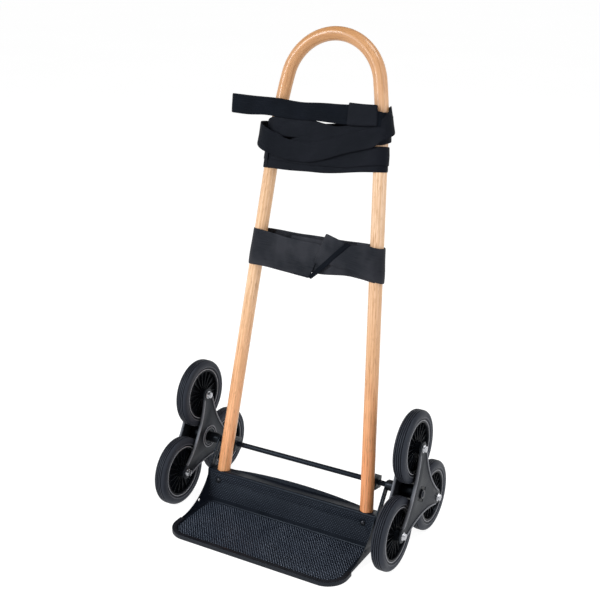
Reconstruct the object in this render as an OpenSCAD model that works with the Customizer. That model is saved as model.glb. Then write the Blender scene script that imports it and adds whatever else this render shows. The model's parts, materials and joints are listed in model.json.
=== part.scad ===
// Stair-climbing shopping trolley frame: a bent wooden hoop on a pressed toe plate, an axle,
// two three-armed stars that carry three wheels each, and straps wound round the rails.
// The frame stands on the floor with its toe plate to -Y and the hoop leaning back to +Y.

/* [Hoop] */
// Diameter of the bent wooden rod
rod_d = 30; // [25:0.5:36]
// Distance between the two rails where their centre lines meet the floor
foot_spacing = 387; // [320:1:465]
// Angle by which each rail leans towards the other
splay = 4.3; // [3.5:0.1:5]
// Height of the straight rails, measured along the hoop
leg_top = 880; // [730:1:1060]
// Radius of the slow bend above the straight rails
shoulder_r = 970; // [700:10:1100]
// Slope of the rod where the tight top bend begins
shoulder_a = 11.5; // [9:0.5:14]
// Angle by which the whole hoop leans back
lean = 11; // [9:0.5:13]

/* [Wheels] */
// Outer diameter of a tyre
wheel_d = 160; // [150:1:192]
// Width of a tyre
wheel_w = 29; // [26:1:32]
// Diameter of the rim on which the tyre sits
rim_d = 114; // [100:1:120]
// Depth of the dish in each side of a rim
dish_depth = 8; // [5:0.5:9]
// Length of a wheel's hub
hub_l = 36; // [34:0.5:37]
// Number of ribs in each side of a rim
rim_ribs = 18; // [12:1:24]
// Number of grooves round a tyre
tread_grooves = 4; // [3:1:5]

/* [Stars] */
// Distance from the axle's centre to the nearest point of each tyre
axle_clear = 28; // [24:0.5:36]
// Distance from the toe plate's side to the wheels' middle plane
star_clear = 59; // [56:1:80]
// Clear space between a star's two plates
star_gap = 40; // [38:0.5:44]
// Thickness of a star plate's web
web_t = 4; // [3:0.5:5]
// Height of the rib round a star plate's edge
rib_h = 3; // [2:0.5:4]
// Width of that rib
rib_w = 3; // [2:0.5:4]
// Radius of a star plate's rounded tip
tip_r = 15; // [13:0.5:18]
// Distance from the axle to the hollow between two arms
valley_r = 50; // [46:1:56]
// Outer diameter of the barrel between the plates
barrel_d = 36; // [34:0.5:40]
// Side of the barrel's square end
square_end = 32; // [30:0.5:34]

/* [Axle] */
// Diameter of the axle
axle_d = 12; // [10:0.1:14.5]
// Wall between the rod and the axle
axle_wall = 4; // [3:0.5:9]
// Running clearance on the radius of the axle and the wheel bolts
run_fit = 0.05; // [0.02:0.01:0.1]
// Diameter of the spacer collars on the axle
collar_d = 24; // [20:1:26]

/* [Toe plate] */
// How far the plate's side stands out past the rail's outer face at the floor
plate_margin = 8.5; // [7:0.5:15]
// Distance from the fold to the plate's front edge
plate_depth = 158; // [140:1:180]
// Height of the upright panel, measured along the hoop
panel_top = 81; // [74:1:90]
// Sheet thickness
sheet = 2; // [1.5:0.1:2.5]
// Radius of the plate's front corners
corner_r = 45; // [30:1:60]
// Inside radius of the fold
fold_r = 5; // [3:0.5:8]
// Length along the floor that the side gussets reach in front of the panel's top
gusset_reach = 114; // [95:1:130]
// Height of the underside of the platform above the floor
plate_z = 4; // [3:0.5:6]
// How far the rear plate's arched edge rises above its ends
arch_rise = 10; // [6:0.5:14]
// Diameter of the hole in each gusset
gusset_hole = 8; // [5:0.5:9]

/* [Edge trim] */
// How far the trim stands out past the plate
trim_out = 3; // [2:0.5:4]
// How far the trim reaches in over the plate
trim_in = 8; // [5:0.5:10]
// Overall height of the trim
trim_h = 10; // [9:0.5:12]

/* [Brackets and clamps] */
// Width of the slotted bar of a side bracket
bar_w = 19; // [17:0.5:22]
// Thickness of that bar
bar_t = 3; // [2:0.5:3.5]
// Length of the slot in a side bracket
slot_l = 24; // [16:1:28]
// Width of the slot
slot_w = 6; // [5:0.5:7]
// How far the saddle that ties a rail to the axle stands out past the rod on each side
saddle_wall = 1; // [0.5:0.5:4]
// Height of that saddle
saddle_h = 27; // [25:1:32]

/* [Fasteners] */
// Thread diameter of the bolts through the rails
rail_bolt_d = 6; // [5:0.5:7]
// Thread diameter of the wheel bolts
wheel_bolt_d = 8; // [7:0.5:9]
// Clearance on the radius of a bolt hole
bolt_fit = 0.2; // [0.1:0.05:0.3]

/* [Straps] */
// Thickness of a layer of strap where it passes round a rail
strap_t = 4; // [3:0.5:6]
// Distance along the hoop from the elastic band's lower edge to the top of the straight rails
band_drop = 303; // [280:1:380]
// Height of the elastic band
band_h = 86; // [60:1:90]
// Distance along the hoop from the wound webbing's lower edge to the top of the straight rails
wrap_drop = 68; // [60:1:90]
// Height of the wound webbing
wrap_h = 84; // [60:1:84]
// Thickness of the wound webbing
wrap_t = 9; // [5:0.5:12]
// Distance along the hoop from the top of the straight rails to the fastening strap's lower edge
grip_rise = 23; // [20:1:40]
// Height of the fastening strap
grip_h = 44; // [36:1:50]
// Distance that the fastening strap stands out past the left rail
grip_tail = 100; // [60:1:120]

/* [Hidden] */
$fn = 96;
SIDES = ["left", "right"];
WHEELS = ["top", "front", "rear"];

WOOD = "burlywood";
STEEL = "#25262a";
PLASTIC = "#3c3d42";
RUBBER = "#1b1c1e";
ZINC = "silver";
CLOTH = "#141519";
NYLON = "#d9d7cf";

// Small gap between pieces that sit against each other
seat = 0.2;
// How far a cut runs past the face that it opens
over = 1;
// Extra on the radius of a round end, so that it merges cleanly with the straight sides it joins
proud = 0.04;

// Heights and places that follow from the driving sizes
rod_r = rod_d/2;
foot_x = foot_spacing/2;
plate_w = foot_spacing + rod_d + 2*plate_margin;
star_x = plate_w/2 + star_clear;
star_r = wheel_d/2 + axle_clear;
axle_z = wheel_d/2 + star_r/2;
axle_off = rod_r + axle_wall + axle_d/2;
rail_y = -(axle_off + axle_z*sin(lean))/cos(lean);
saddle_w = rod_d + 2*saddle_wall;
band_low = leg_top - band_drop;
wrap_low = leg_top - wrap_drop;
grip_low = leg_top + grip_rise;
panel_off = -(rod_r + seat + sheet);
rear_off = rod_r + seat;
foot_s = plate_z + sheet + 10;
bolt_s = panel_top - 24;
axle_s = -rail_y*sin(lean) + axle_z*cos(lean);

// Centre line of a rail: its distance from the middle at height s along the hoop
function rail_x(s) = foot_x - s*tan(splay);
// A point of the hoop's plane, off mm behind it, as [y, z]
function at(off, s) = [rail_y + off*cos(lean) + s*sin(lean), s*cos(lean) - off*sin(lean)];

// The fold of the toe plate
fold_z = plate_z + sheet + fold_r;
fold_y = rail_y + (panel_off - fold_r + fold_z*sin(lean))/cos(lean);
fold_s = (fold_y - rail_y)*sin(lean) + fold_z*cos(lean);
front_y = fold_y - plate_depth;

// The gusset's hollow edge is one arc, level with the trim's top at its front end
gusset_top = at(panel_off, panel_top);
gusset_y = gusset_top[0] - gusset_reach;
gusset_dz = gusset_top[1] - trim_h;
gusset_arc = (gusset_reach*gusset_reach + gusset_dz*gusset_dz)/(2*gusset_dz);

// The two bends of the hoop above the straight rails
leg_x = rail_x(leg_top);
bend1_x = leg_x - shoulder_r*cos(splay);
bend1_s = leg_top - shoulder_r*sin(splay);
bend2_x = bend1_x + shoulder_r*cos(shoulder_a);
bend2_r = bend2_x/cos(shoulder_a);
bend2_s = bend1_s + shoulder_r*sin(shoulder_a) - bend2_r*sin(shoulder_a);

// The middle of the trolley's footprint is the model's origin
back_y = max(star_r*cos(30) + wheel_d/2, at(0, bend2_s + bend2_r)[0] + rod_r);
mid_y = (front_y - trim_out + back_y)/2;

// Stack of pieces along the axle, measured from the wheels' middle plane
plate_in = star_gap/2;
bar_x = plate_w/2;
head_h = 5.5;
nut_h = 7;
washer_t = plate_in - hub_l/2 - seat;

// Star outline: each side is one arc that touches two tips
arc_k = valley_r - tip_r;
side_c = (star_r*star_r - arc_k*arc_k)/(star_r - 2*arc_k);
side_r = side_c - valley_r;

module place() translate([0, -mid_y, 0]) children();
module in_hoop() translate([0, rail_y, 0]) rotate([-lean, 0, 0]) children();
module both() { children(); mirror([1, 0, 0]) children(); }
module on_axle(x) translate([x, 0, axle_z]) children();
module along_x() rotate([90, 0, 90]) children();

// Direction of a wheel from the axle
function arm_angle(wheel) = wheel == "top" ? 90 : wheel == "front" ? 210 : 330;
function arm(wheel) = [star_r*cos(arm_angle(wheel)), star_r*sin(arm_angle(wheel))];

// ---- Hoop ----

// One of the hoop's bends, from angle a0 to a1 about a centre in the hoop's plane. It starts and ends
// a little inside the stretch on each side, and slims by a hair so that the two merge cleanly.
bend_slim = 0.1;
bend_lap = 0.5;
module bend(x, s, r, a0, a1, slim) {
    lap = bend_lap/r*180/PI;
    translate([x, 0, s]) rotate([90, 0, 0]) rotate_extrude(angle = a1 - a0 + 2*lap, start = a0 - lap)
        translate([r, 0]) circle(d = rod_d - slim);
}

module rail() {
    length = (leg_top - foot_s)/cos(splay);
    translate([rail_x(foot_s), 0, foot_s]) rotate([0, -splay, 0]) cylinder(d = rod_d, h = length);
    bend(bend1_x, bend1_s, shoulder_r, splay, shoulder_a, bend_slim);
}

// A hole or a shank square to the hoop's plane, from y0 to y1, at height s on the right rail
module across_rail(s, r, y0, y1)
    translate([rail_x(s), y0, s]) rotate([-90, 0, 0]) cylinder(r = r, h = y1 - y0);

screw_r = 2;
screw_s = saddle_h/2 - 3.8;
screw_tip = -5;
saddle_back = axle_off + axle_d/2 + 5;

module hoop() color(WOOD) place() in_hoop() difference() {
    union() {
        both() rail();
        bend(0, bend2_s, bend2_r, shoulder_a, 180 - shoulder_a, 2*bend_slim);
    }
    both() {
        across_rail(bolt_s, rail_bolt_d/2 + bolt_fit, -rod_d, rod_d);
        for (ds = [-screw_s, screw_s])
            across_rail(axle_s + ds, screw_r + bolt_fit, screw_tip - over, rod_d);
    }
}

// ---- Toe plate ----

// Plan of the platform, grown outwards by g, from the fold to the front edge
module platform_plan(g, back) {
    half = plate_w/2 + g;
    r = corner_r + g;
    front = front_y - g;
    intersection() {
        translate([-half, front]) square([2*half, back - front]);
        union() {
            translate([-half, front + r]) square([2*half, plate_depth]);
            translate([-half + r, front]) square([2*half - 2*r, r + over]);
            for (x = [-half + r, half - r]) translate([x, front + r]) circle(r);
        }
    }
}

// Section of the fold, the upright panel and its bent-back top flange, in the hoop's [y, s]
module panel_section() {
    corner = sheet + 3;
    translate([panel_off, fold_s]) square([sheet, panel_top - corner - fold_s]);
    translate([panel_off + corner, panel_top - sheet])
        square([rear_off - seat - panel_off - corner, sheet]);
    translate([panel_off + corner, panel_top - corner]) intersection() {
        difference() { circle(corner); circle(corner - sheet); }
        translate([-corner - over, 0]) square(corner + over);
    }
}

module fold_section() translate([fold_y, fold_z]) intersection() {
    difference() { circle(fold_r + sheet); circle(fold_r); }
    polygon([[0, 0], [0, -3*fold_z], [3*fold_z*cos(lean), -3*fold_z], 3*fold_z*[cos(lean), -sin(lean)]]);
}

// Side gusset: closes the end of the panel box and runs forward under one hollow arc
module gusset_section() {
    difference() {
        polygon([gusset_top, at(panel_off + sheet, foot_s), [fold_y + fold_r, plate_z + sheet/2],
                 [fold_y, plate_z], [gusset_y, plate_z], [gusset_y, trim_h]]);
        translate([gusset_y, trim_h + gusset_arc]) circle(gusset_arc);
        translate(gusset_eye) circle(d = gusset_hole);
    }
    translate([rail_y, 0]) rotate(-lean)
        translate([panel_off, foot_s]) square([rear_off + sheet - panel_off, panel_top - foot_s]);
}
// The hole sits just below the hollow edge, in front of the panel
eye_wall = 3;
eye_y = gusset_top[0] - 0.42*gusset_reach;
eye_edge = trim_h + gusset_arc - sqrt(gusset_arc*gusset_arc - pow(eye_y - gusset_y, 2));
gusset_eye = [eye_y, eye_edge - eye_wall - gusset_hole/2];

// Bolt places on a gusset and the bend of the side bracket
bar_low = at(-6, panel_top - 50);
bar_mid = at(-8, panel_top - 22);
bar_elbow = at(-8, panel_top - 5);

module toe_plate() color(STEEL) place() difference() {
    union() {
        translate([0, 0, plate_z]) linear_extrude(sheet) platform_plan(0, fold_y);
        translate([-plate_w/2, 0, 0]) along_x() linear_extrude(plate_w) {
            fold_section();
            translate([rail_y, 0]) rotate(-lean) panel_section();
        }
        both() translate([plate_w/2 - sheet, 0, 0]) along_x() linear_extrude(sheet) gusset_section();
    }
    both() {
        in_hoop() across_rail(bolt_s, rail_bolt_d/2 + bolt_fit, -rod_d, 0);
        in_hoop() translate([rail_x(panel_top), 0, panel_top]) rotate([0, -splay, 0])
            translate([0, 0, -rod_d/2]) cylinder(d = rod_d + 4*seat, h = rod_d);
        for (p = [bar_low, bar_mid]) translate([0, p[0], p[1]]) rotate([0, 90, 0])
            cylinder(r = rail_bolt_d/2 + bolt_fit, h = plate_w);
    }
}

module rear_plate() {
    half = plate_w/2 - sheet - 1;
    arch_half = half - 45;
    low = panel_top - 1;
    arch_r = (arch_half*arch_half + arch_rise*arch_rise)/(2*arch_rise);
    color(STEEL) place() in_hoop() difference() {
        translate([0, rear_off + sheet, 0]) rotate([90, 0, 0]) linear_extrude(sheet) {
            translate([-half, foot_s]) square([2*half, low - foot_s]);
            intersection() {
                translate([0, low + arch_rise - arch_r]) circle(arch_r, $fn = 400);
                translate([-arch_half - over, low - over]) square([2*arch_half + 2*over, 2*arch_rise]);
            }
        }
        both() across_rail(bolt_s, rail_bolt_d/2 + bolt_fit, 0, 2*rod_d);
    }
}

module edge_trim() color(RUBBER) place() difference() {
    linear_extrude(trim_h) difference() {
        platform_plan(trim_out, gusset_y - 1);
        platform_plan(-trim_in, gusset_y + over);
    }
    translate([0, 0, plate_z]) linear_extrude(sheet) platform_plan(0, gusset_y + over);
}

// ---- Fasteners ----

module hex_nut(d, across, h) difference() {
    cylinder(r = across/sqrt(3), h = h, $fn = 6);
    translate([0, 0, -over]) cylinder(d = d, h = h + 2*over);
}
module washer(d, outer, h) difference() {
    cylinder(d = outer, h = h);
    translate([0, 0, -over]) cylinder(d = d, h = h + 2*over);
}
// Low domed head that sits on z = 0
module dome_head(r, h) {
    ball = (r*r + h*h)/(2*h);
    intersection() {
        translate([0, 0, h - ball]) sphere(ball);
        cylinder(r = r + over, h = h);
    }
}

rail_nut_h = 5;
rail_washer_h = 1.2;
module rail_bolts() color(ZINC) place() in_hoop() both() {
    across_rail(bolt_s, rail_bolt_d/2, panel_off, rear_off + sheet + rail_washer_h + rail_nut_h + 2);
    translate([rail_x(bolt_s), panel_off, bolt_s]) rotate([90, 0, 0]) dome_head(rail_bolt_d, 3);
}
module rail_nuts() color(ZINC) place() in_hoop() both()
    translate([rail_x(bolt_s), rear_off + sheet, bolt_s]) rotate([-90, 0, 0]) {
        washer(rail_bolt_d, 2*rail_bolt_d, rail_washer_h);
        translate([0, 0, rail_washer_h]) hex_nut(rail_bolt_d, 10, rail_nut_h);
    }

// ---- Axle and what holds it ----

bush_wall = 2;
bush_l = 14;
flange_t = 1.5;
flange_d = axle_d + 10;
spigot = web_t + 1;
square_t = web_t - 1;
outer_flange = plate_in + square_t + flange_t;
inner_flange = plate_in + spigot + flange_t;
push_nut_t = 3;
axle_end = star_x + outer_flange + seat + push_nut_t + 1;

module axle() color(STEEL) place() on_axle(-axle_end) rotate([0, 90, 0])
    cylinder(d = axle_d, h = 2*axle_end);

module axle_collars() color(PLASTIC) place() both() on_axle(bar_x + bar_t) rotate([0, 90, 0])
    washer(axle_d, collar_d, star_x - inner_flange - seat - bar_x - bar_t);

module push_nuts() color(STEEL) place() both() on_axle(star_x + outer_flange + seat) rotate([0, 90, 0])
    washer(axle_d, axle_d + 8, push_nut_t);

module saddle() in_hoop() difference() {
    translate([rail_x(axle_s) - saddle_w/2, 6, axle_s - saddle_h/2])
        cube([saddle_w, saddle_back - 6, saddle_h]);
    translate([rail_x(axle_s), 0, axle_s]) rotate([0, -splay, 0]) translate([0, 0, -rod_d])
        cylinder(r = rod_r + seat, h = 2*rod_d);
    translate([0, axle_off, axle_s]) rotate([0, 90, 0]) cylinder(r = axle_d/2 + seat/2, h = star_x);
    for (ds = [-screw_s, screw_s]) across_rail(axle_s + ds, screw_r + bolt_fit, 0, 2*rod_d);
}
module saddle_left() color(PLASTIC) place() mirror([1, 0, 0]) saddle();
module saddle_right() color(PLASTIC) place() saddle();

module saddle_screws() color(ZINC) place() in_hoop() both() for (ds = [-screw_s, screw_s]) {
    across_rail(axle_s + ds, screw_r, screw_tip, saddle_back);
    translate([rail_x(axle_s + ds), saddle_back, axle_s + ds]) rotate([-90, 0, 0])
        dome_head(1.9*screw_r, 1.2*screw_r);
}

// A flat bar with round ends between two points of the [y, z] plane
module strip(a, b) {
    d = b - a;
    translate(a) rotate(atan2(d[1], d[0])) translate([0, -bar_w/2]) square([norm(d), bar_w]);
    for (p = [a, b]) translate(p) circle(bar_w/2 + proud);
}
module bracket() translate([bar_x, 0, 0]) along_x() linear_extrude(bar_t) difference() {
    union() {
        strip(bar_low, bar_elbow);
        strip(bar_elbow, [0, axle_z]);
    }
    translate([0, axle_z]) circle(r = axle_d/2 + seat/2);
    for (p = [bar_low, bar_mid]) translate(p) circle(r = rail_bolt_d/2 + bolt_fit);
    middle = (bar_elbow + [0, axle_z])/2;
    run = [0, axle_z] - bar_elbow;
    translate(middle) rotate(atan2(run[1], run[0])) {
        square([slot_l - slot_w, slot_w], center = true);
        for (x = [-1, 1]) translate([x*(slot_l - slot_w)/2, 0]) circle(slot_w/2 + proud);
    }
}
module bracket_left() color(STEEL) place() mirror([1, 0, 0]) bracket();
module bracket_right() color(STEEL) place() bracket();

module bracket_bolts() color(ZINC) place() both() for (p = [bar_low, bar_mid])
    translate([bar_x + bar_t, p[0], p[1]]) rotate([0, 90, 0]) {
        dome_head(rail_bolt_d, 3);
        translate([0, 0, -bar_t - sheet - rail_nut_h - 1])
            cylinder(d = rail_bolt_d, h = bar_t + sheet + rail_nut_h + 1);
    }
module bracket_nuts() color(ZINC) place() both() for (p = [bar_low, bar_mid])
    translate([bar_x - sheet, p[0], p[1]]) rotate([0, -90, 0]) hex_nut(rail_bolt_d, 10, rail_nut_h);

// ---- Stars ----

// Puts a piece drawn on the right star, with x out from the wheels' middle plane, on either side
module on_star(side) place() mirror([side == "left" ? 1 : 0, 0, 0]) on_axle(star_x) children();
module at_wheel(wheel) translate([0, arm(wheel)[0], arm(wheel)[1]]) children();

// Outline of a star in [y, z], drawn in by inset all round
module star_outline(inset) {
    touch = [for (w = WHEELS, turn = [-60, 60]) let (a = arm_angle(w) + turn,
        c = side_c*[cos(a), sin(a)], d = c - arm(w)) arm(w) + (tip_r - inset)*d/norm(d)];
    difference() {
        polygon(touch);
        for (w = WHEELS) rotate(arm_angle(w) + 60) translate([side_c, 0]) circle(side_r + inset, $fn = 400);
    }
    for (w = WHEELS) translate(arm(w)) circle(tip_r - inset + proud);
}

module star_web() along_x() linear_extrude(web_t) difference() {
    star_outline(0);
    for (w = WHEELS) translate(arm(w)) circle(r = wheel_bolt_d/2 + bolt_fit);
}
module star_rib() along_x() linear_extrude(rib_h) difference() {
    star_outline(0);
    star_outline(rib_w);
}
// The rib stops short of each tip, where the bolt's head or nut sits on the flat web
module star_plate() {
    star_web();
    difference() {
        translate([web_t, 0, 0]) star_rib();
        for (w = WHEELS) at_wheel(w) rotate([0, 90, 0]) cylinder(r = tip_r + rib_w, h = 3*web_t);
    }
}
spigot_d = 24;
module star_outer(side) color(PLASTIC) on_star(side) difference() {
    translate([plate_in, 0, 0]) star_plate();
    rotate([-30, 0, 0]) cube([star_gap*2, square_end + 2*seat, square_end + 2*seat], center = true);
}
module star_inner(side) color(PLASTIC) on_star(side) difference() {
    translate([-plate_in, 0, 0]) mirror([1, 0, 0]) union() {
        star_plate();
        translate([web_t, 0, 0]) rotate([0, 90, 0]) {
            washer(48, 54, rib_h - 1);
            washer(38, 42, rib_h - 1);
        }
    }
    rotate([0, 90, 0]) translate([0, 0, -star_gap]) cylinder(d = spigot_d + 2*seat, h = 2*star_gap);
}

module hub_barrel(side) color(PLASTIC) on_star(side) difference() {
    union() {
        rotate([0, 90, 0]) translate([0, 0, -plate_in]) cylinder(d = barrel_d, h = star_gap);
        rotate([0, 90, 0]) translate([0, 0, -plate_in - spigot]) cylinder(d = spigot_d, h = spigot + over);
        rotate([-30, 0, 0]) translate([plate_in - over, -square_end/2, -square_end/2])
            cube([square_t + over, square_end, square_end]);
    }
    rotate([0, 90, 0]) translate([0, 0, -star_gap]) cylinder(d = axle_d + 2*bush_wall, h = 2*star_gap);
}

module flanged_bush() rotate([0, 90, 0]) difference() {
    union() {
        translate([0, 0, -bush_l]) cylinder(d = axle_d + 2*bush_wall, h = bush_l + over/2);
        cylinder(d = flange_d, h = flange_t);
    }
    translate([0, 0, -bush_l - over]) cylinder(r = axle_d/2 + run_fit, h = 2*bush_l);
}
module hub_bushes(side) color(PLASTIC) on_star(side) {
    translate([plate_in + square_t, 0, 0]) flanged_bush();
    translate([-plate_in - spigot, 0, 0]) mirror([1, 0, 0]) flanged_bush();
}

module wheel_bolts(side) color(ZINC) on_star(side) for (w = WHEELS) at_wheel(w) rotate([0, 90, 0]) {
    translate([0, 0, plate_in + web_t]) {
        washer(wheel_bolt_d, 2*wheel_bolt_d + 2, flange_t);
        translate([0, 0, flange_t]) cylinder(r = 1.625*wheel_bolt_d/sqrt(3), h = head_h, $fn = 6);
    }
    translate([0, 0, -plate_in - web_t - flange_t - nut_h - 1])
        cylinder(d = wheel_bolt_d, h = star_gap + 2*web_t + 2*flange_t + nut_h + 1 + over);
}
module wheel_nuts(side) color(ZINC) on_star(side) for (w = WHEELS) at_wheel(w)
    translate([-plate_in - web_t, 0, 0]) rotate([0, -90, 0]) {
        washer(wheel_bolt_d, 2*wheel_bolt_d + 2, flange_t);
        translate([0, 0, flange_t]) hex_nut(wheel_bolt_d, 1.625*wheel_bolt_d, nut_h);
    }
module wheel_washers(side) color(ZINC) on_star(side) for (w = WHEELS, t = [-1, 1]) at_wheel(w)
    translate([t*(plate_in - washer_t/2 - seat/4) - washer_t/2, 0, 0]) rotate([0, 90, 0])
        washer(wheel_bolt_d + 2*bolt_fit, 2*wheel_bolt_d, washer_t);

// ---- Wheels ----

module on_wheel(side, wheel) on_star(side) at_wheel(wheel) rotate([0, 90, 0]) children();

module tyre(side, wheel) color(RUBBER) on_wheel(side, wheel) rotate_extrude() {
    shoulder = 9;
    bead_w = wheel_w - 6;
    difference() {
        union() {
            translate([rim_d/2, -bead_w/2]) square([10, bead_w]);
            translate([rim_d/2 + 4, -wheel_w/2]) square([wheel_d/2 - shoulder - rim_d/2 - 4, wheel_w]);
            translate([wheel_d/2 - shoulder - over, -wheel_w/2 + shoulder])
                square([shoulder + over, wheel_w - 2*shoulder]);
            for (y = [-1, 1]) translate([wheel_d/2 - shoulder, y*(wheel_w/2 - shoulder)]) circle(shoulder);
        }
        for (i = [0:tread_grooves - 1])
            translate([wheel_d/2, (i - (tread_grooves - 1)/2)*(wheel_w - 2*shoulder)/(tread_grooves - 1)])
                square([2.4, 1.2], center = true);
    }
}

hub_d = 26;
module rim(side, wheel) color(PLASTIC) on_wheel(side, wheel) {
    wall = 4;
    rib_t = 2;
    bead_w = wheel_w - 6;
    rib_l = bead_w - 2;
    web = bead_w/2 - dish_depth;
    difference() {
        union() {
            rotate_extrude() {
                translate([rim_d/2 - wall, -bead_w/2]) square([wall, bead_w]);
                translate([0, -web]) square([rim_d/2 - wall/2, 2*web]);
                translate([0, -hub_l/2]) square([hub_d/2, hub_l]);
            }
            for (i = [0:rim_ribs - 1]) rotate(i*360/rim_ribs)
                translate([hub_d/2 - over, -rib_t/2, -rib_l/2])
                    cube([rim_d/2 - wall - hub_d/2 + 2*over, rib_t, rib_l]);
        }
        translate([0, 0, -hub_l]) cylinder(d = wheel_bolt_d + 6, h = 2*hub_l);
    }
}
module bush(side, wheel) color(NYLON) on_wheel(side, wheel) translate([0, 0, -hub_l/2])
    washer(wheel_bolt_d + 2*run_fit, wheel_bolt_d + 6, hub_l);

// ---- Straps ----

// Long shape with round ends in the [x, y] plane across the hoop
module stadium(half, r) {
    translate([-half, -r]) square([2*half, 2*r]);
    for (x = [-half, half]) translate([x, 0]) circle(r);
}
// Loop that goes round both rails between heights low and low + h along the hoop
module loop(low, h, t) translate([0, 0, low]) linear_extrude(h) difference() {
    stadium(rail_x(low), rod_r + 2*seat + t);
    stadium(rail_x(low), rod_r + 2*seat);
}
module elastic_band() color(CLOTH) place() in_hoop() loop(band_low, band_h, strap_t);
module wound_webbing() color(CLOTH) place() in_hoop() loop(wrap_low, wrap_h, wrap_t);

module fastening_strap() {
    sleeve_x = rail_x(grip_low + grip_h/2) - 1;
    tail_x = -rail_x(grip_low) - rod_r - grip_tail;
    slack = 4;
    color(CLOTH) place() in_hoop() translate([0, 0, grip_low]) linear_extrude(grip_h) difference() {
        union() {
            translate([tail_x, -rod_r - slack/2 - strap_t]) square([sleeve_x - tail_x, strap_t]);
            translate([sleeve_x, 0]) stadium(slack, rod_r + slack/2 + strap_t);
        }
        translate([sleeve_x, 0]) stadium(slack, rod_r + slack/2);
    }
}

hoop();
toe_plate();
rear_plate();
edge_trim();
rail_bolts();
rail_nuts();
axle();
saddle_left();
saddle_right();
saddle_screws();
bracket_left();
bracket_right();
bracket_bolts();
bracket_nuts();
axle_collars();
push_nuts();
elastic_band();
wound_webbing();
fastening_strap();
for (s = SIDES) {
    star_inner(s);
    star_outer(s);
    hub_barrel(s);
    hub_bushes(s);
    wheel_bolts(s);
    wheel_nuts(s);
    wheel_washers(s);
    for (w = WHEELS) {
        tyre(s, w);
        rim(s, w);
        bush(s, w);
    }
}
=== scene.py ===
import json
import math

import bpy
from mathutils import Matrix, Vector, noise

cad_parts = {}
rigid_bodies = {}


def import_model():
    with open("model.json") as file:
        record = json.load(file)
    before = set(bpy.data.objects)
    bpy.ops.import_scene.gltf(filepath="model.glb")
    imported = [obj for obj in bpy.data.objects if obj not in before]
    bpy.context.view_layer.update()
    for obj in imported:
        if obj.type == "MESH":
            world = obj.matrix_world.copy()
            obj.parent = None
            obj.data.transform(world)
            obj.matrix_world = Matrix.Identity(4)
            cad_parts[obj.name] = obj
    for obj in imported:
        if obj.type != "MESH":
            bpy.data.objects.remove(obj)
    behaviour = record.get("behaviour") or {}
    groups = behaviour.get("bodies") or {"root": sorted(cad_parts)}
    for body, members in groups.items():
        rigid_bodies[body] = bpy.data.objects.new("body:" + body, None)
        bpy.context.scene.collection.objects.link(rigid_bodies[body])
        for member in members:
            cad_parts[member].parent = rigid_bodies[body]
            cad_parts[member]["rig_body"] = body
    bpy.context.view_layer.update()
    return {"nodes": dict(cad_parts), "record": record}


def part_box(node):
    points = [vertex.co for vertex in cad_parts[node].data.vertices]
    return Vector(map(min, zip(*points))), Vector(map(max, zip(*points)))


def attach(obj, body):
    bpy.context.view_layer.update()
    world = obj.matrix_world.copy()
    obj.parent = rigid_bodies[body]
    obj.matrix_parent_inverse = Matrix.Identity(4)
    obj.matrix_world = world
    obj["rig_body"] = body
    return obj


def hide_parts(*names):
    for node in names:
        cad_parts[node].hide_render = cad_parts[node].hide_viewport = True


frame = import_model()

mm = 0.001
sides = {"left": -1, "right": 1}
wheelPlaces = ["top", "front", "rear"]


# The camera stands to the trolley's front right and looks a little down
camera = {"place": (1.0489, -1.7938, 1.2523), "tilt": 70.87, "turn": 29.94, "lens": 61.87}


def addCamera():
    bpy.ops.object.camera_add(location=camera["place"])
    view = bpy.context.object
    view.rotation_euler = (math.radians(camera["tilt"]), 0, math.radians(camera["turn"]))
    view.data.lens = camera["lens"]
    view.data.clip_end = 200
    bpy.context.scene.camera = view


addCamera()
print("camera placed")


def selectOnly(piece):
    if bpy.context.mode != "OBJECT":
        bpy.ops.object.mode_set(mode="OBJECT")
    bpy.ops.object.select_all(action="DESELECT")
    piece.select_set(True)
    bpy.context.view_layer.objects.active = piece


def editAll(piece):
    selectOnly(piece)
    bpy.ops.object.mode_set(mode="EDIT")
    bpy.ops.mesh.select_all(action="SELECT")


def endEdit():
    bpy.ops.object.mode_set(mode="OBJECT")


# Moves, turns and scales the mesh itself, so that the object stays at the origin
def settle(piece):
    selectOnly(piece)
    bpy.ops.object.transform_apply(location=True, rotation=True, scale=True)


def addModifier(piece, kind, **settings):
    modifier = piece.modifiers.new(kind.lower(), kind)
    for key, value in settings.items():
        setattr(modifier, key, value)
    selectOnly(piece)
    bpy.ops.object.modifier_apply(modifier=modifier.name)


def smooth(piece, angle=35):
    selectOnly(piece)
    bpy.ops.object.shade_smooth_by_angle(angle=math.radians(angle))


def tidyMesh(piece, reach=0.002 * mm):
    editAll(piece)
    bpy.ops.mesh.remove_doubles(threshold=reach)
    bpy.ops.mesh.normals_make_consistent(inside=False)
    endEdit()


def finishPiece(piece, name, body, material, slot, *nodes):
    piece.name = name
    piece.data.name = name
    piece.data.materials.clear()
    piece.data.materials.append(material)
    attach(piece, body)
    if nodes:
        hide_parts(*nodes)


def joinPieces(pieces):
    selectOnly(pieces[0])
    for piece in pieces[1:]:
        piece.select_set(True)
    if len(pieces) > 1:
        bpy.ops.object.join()
    return bpy.context.object


def copyTo(piece, move=(0, 0, 0)):
    selectOnly(piece)
    bpy.ops.object.duplicate(linked=False)
    twin = bpy.context.object
    twin.location = move
    settle(twin)
    return twin


# Stores how much light is painted on the surface at every point: 0 in a hollow, painted shade, 1 on a
# crest, painted highlight
def markPaintedLight(piece, rule):
    paintedLight = piece.data.attributes.new("paintedLight", "FLOAT", "POINT")
    for vertex, value in zip(piece.data.vertices, paintedLight.data):
        value.value = rule(vertex.co)


def middle(node):
    low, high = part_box(node)
    return (Vector(low) + Vector(high)) / 2


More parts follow.
